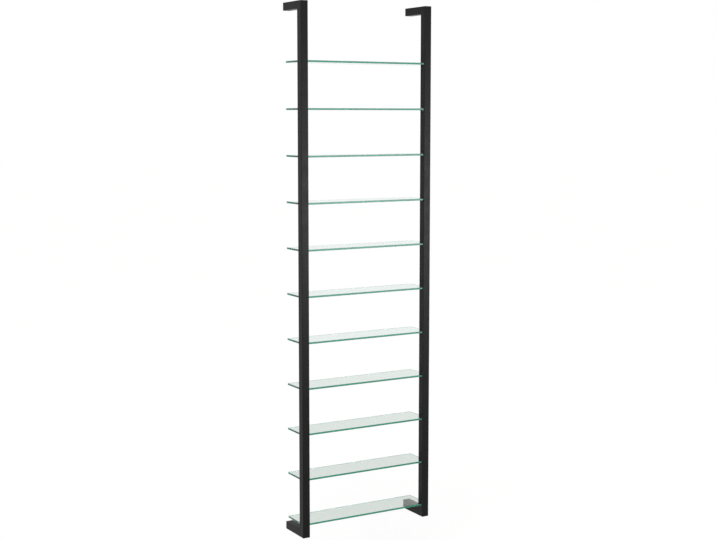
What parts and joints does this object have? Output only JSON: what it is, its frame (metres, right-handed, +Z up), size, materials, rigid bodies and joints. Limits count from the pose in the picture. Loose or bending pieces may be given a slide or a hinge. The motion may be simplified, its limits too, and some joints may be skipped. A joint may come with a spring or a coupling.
{
  "type": "wall shelving unit",
  "caption": "Tall slim wall shelving unit: clear glass shelves standing in the slots of two black square-tube brackets that are fixed to the wall.",
  "frame": {"origin": "middle of the four wall fixings, in the plane of the wall", "axes": "+X across the unit to the right seen from the front, +Y into the wall, +Z up"},
  "size_m": [0.5, 0.125, 1.777],
  "materials": {
    "frame_coat": "black powder coat on steel tube, satin with a fine texture",
    "shelf_glass": "clear float glass with polished faces and seamed green edges",
    "sleeve_rubber": "moulded soft black rubber",
    "block_metal": "sawn and drilled bar",
    "screw_steel": "blackened hexagon-socket screw"
  },
  "bodies": {
    "root": {"left_post": "frame_coat", "left_bottom_arm": "frame_coat", "left_bottom_wall_block": "block_metal", "left_bottom_lock_screw": "screw_steel", "left_top_arm": "frame_coat", "left_top_wall_block": "block_metal", "left_top_lock_screw": "screw_steel", "left_sleeve_01": "sleeve_rubber", "left_sleeve_02": "sleeve_rubber", "left_sleeve_03": "sleeve_rubber", "left_sleeve_04": "sleeve_rubber", "left_sleeve_05": "sleeve_rubber", "left_sleeve_06": "sleeve_rubber", "left_sleeve_07": "sleeve_rubber", "left_sleeve_08": "sleeve_rubber", "left_sleeve_09": "sleeve_rubber", "left_sleeve_10": "sleeve_rubber", "left_sleeve_11": "sleeve_rubber", "right_post": "frame_coat", "right_bottom_arm": "frame_coat", "right_bottom_wall_block": "block_metal", "right_bottom_lock_screw": "screw_steel", "right_top_arm": "frame_coat", "right_top_wall_block": "block_metal", "right_top_lock_screw": "screw_steel", "right_sleeve_01": "sleeve_rubber", "right_sleeve_02": "sleeve_rubber", "right_sleeve_03": "sleeve_rubber", "right_sleeve_04": "sleeve_rubber", "right_sleeve_05": "sleeve_rubber", "right_sleeve_06": "sleeve_rubber", "right_sleeve_07": "sleeve_rubber", "right_sleeve_08": "sleeve_rubber", "right_sleeve_09": "sleeve_rubber", "right_sleeve_10": "sleeve_rubber", "right_sleeve_11": "sleeve_rubber", "glass_shelf_01": "shelf_glass", "glass_shelf_02": "shelf_glass", "glass_shelf_03": "shelf_glass", "glass_shelf_04": "shelf_glass", "glass_shelf_05": "shelf_glass", "glass_shelf_06": "shelf_glass", "glass_shelf_07": "shelf_glass", "glass_shelf_08": "shelf_glass", "glass_shelf_09": "shelf_glass", "glass_shelf_10": "shelf_glass", "glass_shelf_11": "shelf_glass"}
  },
  "joints": []
}
